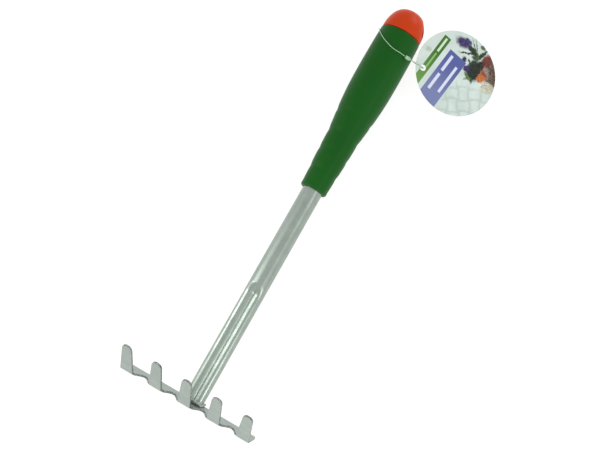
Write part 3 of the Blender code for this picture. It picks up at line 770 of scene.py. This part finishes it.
def card_material():
    """Printed card: two slanting bands with plain bars, potted plants and a pale basket weave."""
    n = Nodes("printed_card")
    flat = n.scaled(1000.0, 1000.0, 1000.0)
    shake = n.add("TexNoise", {"Vector": flat, "Scale": 0.55, "Detail": 3.0}).outputs["Color"]
    shake = n.add("VectorMath", {0: shake, 1: (0.5, 0.5, 0.5)}, operation="SUBTRACT").outputs["Vector"]
    loose = n.add("VectorMath", {0: shake, 1: (3.2, 3.2, 3.2), 2: flat}, operation="MULTIPLY_ADD")
    loose = loose.outputs["Vector"]
    mottle = n.ramp(n.noise(flat, 1.1, 3.0, 0.6), 0.42, 0.60)

    def placed(vector, u, v, turn, wide, high):
        """Coordinates centred on (u, v), turned, and 1 at wide or high away from it."""
        place = {"Location": (u, v, 0), "Rotation": (0, 0, turn), "Scale": (wide, high, 1e4)}
        return n.add("Mapping", {"Vector": vector, **place}, vector_type="TEXTURE").outputs["Vector"]

    def box(spans):
        """1 inside the box of along and beside spans, 0 outside."""
        outside = []
        for value, low, high in ((along, *spans[:2]), (beside, *spans[2:4])):
            off = n.math("ABSOLUTE", n.math("SUBTRACT", value, (low + high) / 2))
            outside.append(n.math("SUBTRACT", off, (high - low) / 2))
        return n.ramp(n.math("MAXIMUM", *outside), -0.12, 0.12, 1.0, 0.0)

    turned = n.add("SeparateXYZ", {"Vector": placed(flat, 0, 0, PRINT_TURN, 1, 1)})
    along, beside = turned.outputs["X"], turned.outputs["Y"]

    cloud = n.ramp(n.noise(flat, 0.07, 3.0), 0.35, 0.65)
    printed = n.mix(cloud, ink(198, 213, 206), ink(213, 226, 220))
    weave = placed(loose, 1.5, -1.0, WEAVE_TURN, WEAVE_PITCH, WEAVE_PITCH)
    cells = n.add("SeparateXYZ", {"Vector": weave})
    column, row = cells.outputs["X"], cells.outputs["Y"]
    cell_sum = n.math("ADD", n.math("FLOOR", column), n.math("FLOOR", row))
    parity = n.math("FLOORED_MODULO", cell_sum, 2.0)
    shades = []
    for value in (column, row):
        from_middle = n.math("ABSOLUTE", n.math("SUBTRACT", n.math("FRACT", value), 0.5))
        shades.append(n.ramp(from_middle, 0.22, 0.50))
    strips = {"Factor": parity, "A": shades[0], "B": shades[1]}
    shade = n.add("Mix", strips, data_type="FLOAT").outputs[0]
    height = n.add("SeparateXYZ", {"Vector": flat}).outputs["Y"]
    low_part = n.ramp(height, -9.0, -3.0, 0.62, 0.0)
    below_bands = n.ramp(beside, -3.2, -2.2, 1.0, 0.0)
    shade = n.math("MULTIPLY", shade, n.math("MULTIPLY", low_part, below_bands))
    printed = n.mix(shade, printed, ink(166, 182, 174))

    for u, v, wide, high, turn, soft, dark, light in PLANTS:
        spot = placed(loose, u, v, math.radians(turn), wide, high)
        reach = n.add("VectorMath", {0: spot}, operation="LENGTH").outputs["Value"]
        leaves = n.mix(mottle, ink(*dark), ink(*light))
        printed = n.mix(n.ramp(reach, 1 - soft, 1 + soft, 1.0, 0.0), printed, leaves)
    for *spans, lower, upper in BANDS:
        band = n.mix(n.ramp(along, -24.0, 2.0), ink(*lower), ink(*upper))
        printed = n.mix(box(spans), printed, band)
    for *spans, colour in BARS:
        printed = n.mix(box(spans), printed, ink(*colour))

    facing = n.add("SeparateXYZ", {"Vector": n.add("TexCoord").outputs["Normal"]}).outputs["Z"]
    fibre = n.noise(n.coords, 1400.0, 3.0, 0.6)
    plain = n.mix(fibre, ink(208, 212, 206), ink(228, 230, 226))
    n.set(Base_Color=n.mix(n.math("GREATER_THAN", facing, 0.5), plain, printed))
    n.set(Roughness=n.ramp(fibre, 0.3, 0.7, 0.40, 0.50), Normal=n.bump(fibre, 0.08, 0.00003))
    n.set(Specular_IOR_Level=0.25)
    return n.mat


def build_tag(mat):
    """Round card with a punched hole."""
    bm = bmesh.new()
    rims, holes = [], []
    for lift in (-TAG_THICKNESS / 2, TAG_THICKNESS / 2):
        for rings, (x, y), radius, sides in ((rims, (0, 0), TAG_RADIUS, 192),
                                             (holes, HOLE_OFFSET, HOLE_RADIUS, 48)):
            spots = [(x + radius * math.cos(a), y + radius * math.sin(a), lift) for a in circle(sides)]
            rings.append([bm.verts.new(spot) for spot in spots])
    bridge_rings(bm, rims)
    bridge_rings(bm, holes)
    for rim, hole in zip(rims, holes):
        edges = [bm.edges.get((ring[k], ring[(k + 1) % len(ring)])) for ring in (rim, hole)
                 for k in range(len(ring))]
        bmesh.ops.triangle_fill(bm, edges=edges, use_beauty=True)
    finish_piece("card_tag", bm, [mat], "tag", ["hang_tag"], place=TAG)


def smooth_route(points, steps):
    """Points along one smooth curve through the route's own points."""
    route = [Vector(p) * MM for p in points]
    curve = []
    for i in range(len(route) - 1):
        before, after = route[max(i - 1, 0)], route[min(i + 2, len(route) - 1)]
        lead_in = route[i] + (route[i + 1] - before) / 6
        lead_out = route[i + 1] - (after - route[i]) / 6
        span = interpolate_bezier(route[i], lead_in, lead_out, route[i + 1], steps + 1)
        curve += span[:-1]
    return curve + [route[-1]]


def build_loop(mat):
    """Nylon filament of the tag's loop, from one end of the lock round to the other."""
    curve = bpy.data.curves.new("nylon_loop", "CURVE")
    curve.dimensions = "3D"
    curve.bevel_depth = CORD_DIAMETER / 2
    curve.bevel_resolution = 5
    curve.use_fill_caps = True
    points = smooth_route(LOOP_ROUTE, 8)
    spline = curve.splines.new("POLY")
    spline.points.add(len(points) - 1)
    for spot, point in zip(points, spline.points):
        point.co = (*spot, 1.0)
    curve.materials.append(mat)
    loop = bpy.data.objects.new("nylon_loop", curve)
    bpy.context.scene.collection.objects.link(loop)
    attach(loop, "loop")
    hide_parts("tag_loop")
    return loop, points


def build_lock(mat):
    """Socket that closes the loop, and the barbed tip inside it."""
    half = LOCK_LENGTH / 2
    profile = [(-half, LOCK_BORE), (-half, LOCK_RADIUS * 0.72), (-half * 0.55, LOCK_RADIUS),
               (half * 0.55, LOCK_RADIUS), (half, LOCK_RADIUS * 0.72), (half, LOCK_BORE)]
    bm = lathe(fillet(profile, 0.35 * MM), 40, closed=True)
    lock = finish_piece("lock_socket", bm, [mat], "loop", ["loop_lock"], place=LOCK)
    profile = [(-BARB_LENGTH / 2, 0.0), (-BARB_LENGTH / 2, BARB_RADIUS * 0.6), (0.0, BARB_RADIUS * 0.6),
               (0.0, BARB_RADIUS), (BARB_LENGTH / 2, 0.0)]
    bm = lathe(profile, 24)
    barb = finish_piece("lock_barb", bm, [mat], "loop", ["loop_barb"], place=LOCK)
    return lock, barb


# ---------------------------------------------------------------- studio

FLOOR_REACH = 6.0                    # metres from the middle to each side
FLOOR_DROP = 0.1 * MM
SOFT_BOXES = (  # name, place and target in metres, width and height, watts
    ("left_box", (-0.28, -0.09, 0.20), (0.0, -0.10, 0.01), (0.09, 0.28), 0.40),
    ("right_box", (0.29, -0.19, 0.22), (0.0, -0.15, 0.01), (0.20, 0.20), 0.42),
    ("far_box", (0.33, 0.12, 0.30), (0.0, 0.05, 0.01), (0.15, 0.15), 0.10),
    ("rear_box", (0.14, 0.53, 0.16), (0.005, 0.16, 0.02), (0.20, 0.09), 0.34),
    ("front_box", (0.02, -0.62, 0.15), (0.0, -0.10, 0.01), (0.30, 0.14), 0.40))


def build_floor():
    """Plain pale floor just under the rake, partly lit by itself so that it stays even."""
    n = Nodes("studio_floor")
    n.set(Base_Color=rgb(0.25, 0.25, 0.25), Roughness=0.9)
    n.set(Emission_Color=rgb(1.0, 1.0, 1.0), Emission_Strength=0.82)
    mesh = bpy.data.meshes.new("floor")
    corners = [(x * FLOOR_REACH, y * FLOOR_REACH, 0) for x, y in ((-1, -1), (1, -1), (1, 1), (-1, 1))]
    mesh.from_pydata(corners, [], [(0, 1, 2, 3)])
    mesh.materials.append(n.mat)
    floor = bpy.data.objects.new("floor", mesh)
    floor.location.z = -FLOOR_DROP
    bpy.context.scene.collection.objects.link(floor)


def soft_box(name, place, target, size, power):
    """White rectangular light turned to its target."""
    data = bpy.data.lights.new(name, "AREA")
    data.shape = "RECTANGLE"
    data.size, data.size_y = size
    data.energy = power
    light = bpy.data.objects.new(name, data)
    light.location = place
    light.rotation_euler = (Vector(target) - Vector(place)).to_track_quat("-Z", "Y").to_euler()
    bpy.context.scene.collection.objects.link(light)


def build_studio():
    """Bright even surroundings, and small soft boxes whose reflections light up the steel."""
    world = bpy.data.worlds.new("studio")
    world.use_nodes = True
    background = world.node_tree.nodes["Background"]
    background.inputs["Color"].default_value = rgb(1.0, 1.0, 1.0)
    background.inputs["Strength"].default_value = 0.92
    bpy.context.scene.world = world
    for box in SOFT_BOXES:
        soft_box(*box)
    bpy.context.scene.view_settings.view_transform = "Standard"


# ---------------------------------------------------------------- build

build_camera()
zinc_tube = steel_material("zinc_steel_drawn", (0.33, 0.38, 0.34), (0.26, 0.31, 0.27), 0.32, along=1)
zinc_plate = steel_material("zinc_steel_plate", (0.355, 0.405, 0.37), (0.315, 0.365, 0.33), 0.46, along=0)
sheared_edge = sheared_material()
weld_metal = weld_material()
green_plastic = plastic_material("green_plastic", (0.003, 0.082, 0.004), (0.0015, 0.070, 0.002), 0.42)
orange_plastic = plastic_material("orange_plastic", (0.53, 0.042, 0.0005), (0.45, 0.032, 0.0003), 0.36)
nylon = nylon_material()
printed_card = card_material()

loop, loop_points = build_loop(nylon)
build_head(zinc_plate, sheared_edge)
build_shaft(zinc_tube)
build_weld("bead_top", top_weld_path(*TOP_WELD, BEAD), BEAD, "weld_top", weld_metal)
left_side = side_weld_path(-SIDE_WELD[1], -SIDE_WELD[0], SIDE_BEAD)
build_weld("bead_left", left_side, SIDE_BEAD, "weld_left", weld_metal)
right_side = side_weld_path(*SIDE_WELD, SIDE_BEAD)
build_weld("bead_right", right_side, SIDE_BEAD, "weld_right", weld_metal)
build_grip(green_plastic)
build_cap(orange_plastic)
build_tag(printed_card)
lock, barb = build_lock(nylon)

build_floor()
build_studio()
